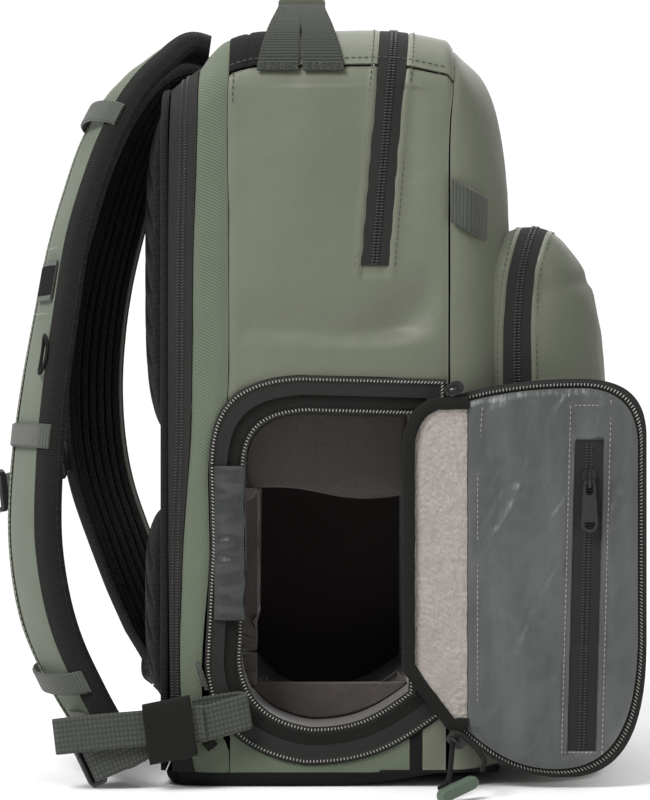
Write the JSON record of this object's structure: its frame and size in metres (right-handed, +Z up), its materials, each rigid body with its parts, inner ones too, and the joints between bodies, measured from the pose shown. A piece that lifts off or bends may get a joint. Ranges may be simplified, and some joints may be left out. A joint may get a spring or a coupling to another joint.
{
  "type": "camera backpack",
  "caption": "Soft camera backpack standing on its base, side camera door swung open to show the padded compartment, with shoulder straps and carry handle.",
  "frame": {"origin": "middle of the floor under the bag, cords left out", "axes": "+Z up, +X from the back panel with the straps to the front pocket, the side camera door opens on the -Y side"},
  "size_m": [0.3802, 0.3583, 0.4634],
  "materials": {
    "air_mesh": "knitted spacer mesh",
    "zip_tape": "woven zip tape",
    "green_twill": "diagonal twill",
    "coated_cloth": "smooth coated weave",
    "black_cloth": "plain black weave",
    "webbing": "woven webbing",
    "dark_tricot": "brushed knit",
    "grey_nylon": "satin ripstop lining",
    "grey_fleece": "looped fleece",
    "grosgrain": "ribbed binding",
    "black_metal": "black plated",
    "green_plastic": "moulded",
    "black_plastic": "moulded"
  },
  "bodies": {
    "bag": {"back_panel": "air_mesh", "back_pad_upper": "air_mesh", "back_pad_lower": "air_mesh", "laptop_zip_band": "zip_tape", "back_gusset": "green_twill", "side_panel_near": "coated_cloth", "side_panel_far": "coated_cloth", "lower_band_near": "green_twill", "top_panel": "coated_cloth", "top_panel_front": "coated_cloth", "top_black_band": "black_cloth", "main_zip_band": "zip_tape", "front_panel": "coated_cloth", "base_panel": "black_cloth", "front_pocket": "coated_cloth", "front_pocket_zip": "zip_tape", "side_tab_loop": "webbing", "handle_web_back": "webbing", "handle_web_front": "webbing", "handle_grip": "webbing", "opening_zip_band": "zip_tape", "opening_lining": "zip_tape", "cube_zip_band": "zip_tape", "cube_liner": "dark_tricot", "divider_upper": "dark_tricot", "divider_lower": "dark_tricot", "door_panel": "coated_cloth", "door_zip_band": "zip_tape", "door_lining": "grey_nylon", "pocket_zip_tape": "zip_tape", "hinge_pad": "grey_fleece", "hinge_binding": "grosgrain", "pocket_zip_slider": "black_metal", "door_slider_top": "black_metal", "door_slider_bottom": "black_metal", "pull_cord_left": "webbing", "pull_cord_right": "webbing", "pull_toggle": "green_plastic", "strap_near": "green_twill", "strap_near_mesh": "air_mesh", "strap_far": "green_twill", "strap_far_mesh": "air_mesh", "strap_yoke": "air_mesh", "sternum_web_near": "webbing", "sternum_web_far": "webbing", "sternum_clip_near": "black_plastic", "sternum_clip_far": "black_plastic", "ladder_web_near": "webbing", "ladderlock_near": "black_plastic", "keeper_near": "black_cloth", "ladder_web_far": "webbing", "ladderlock_far": "black_plastic", "adjuster_web_far": "webbing", "adjuster_web_near": "webbing", "adjuster_tail_near": "webbing", "strap_loop_upper": "webbing", "strap_band": "webbing", "strap_loop_lower": "webbing"},
    "zip_pull": {"pocket_zip_pull": "black_metal"}
  },
  "joints": [
    {"name": "zip_pull_swing", "type": "hinge", "parent": "bag", "child": "zip_pull", "pos_m": [0.15714, -0.15112, 0.1715], "axis": [-1, 0, 0], "range_deg": [0, 135]}
  ]
}
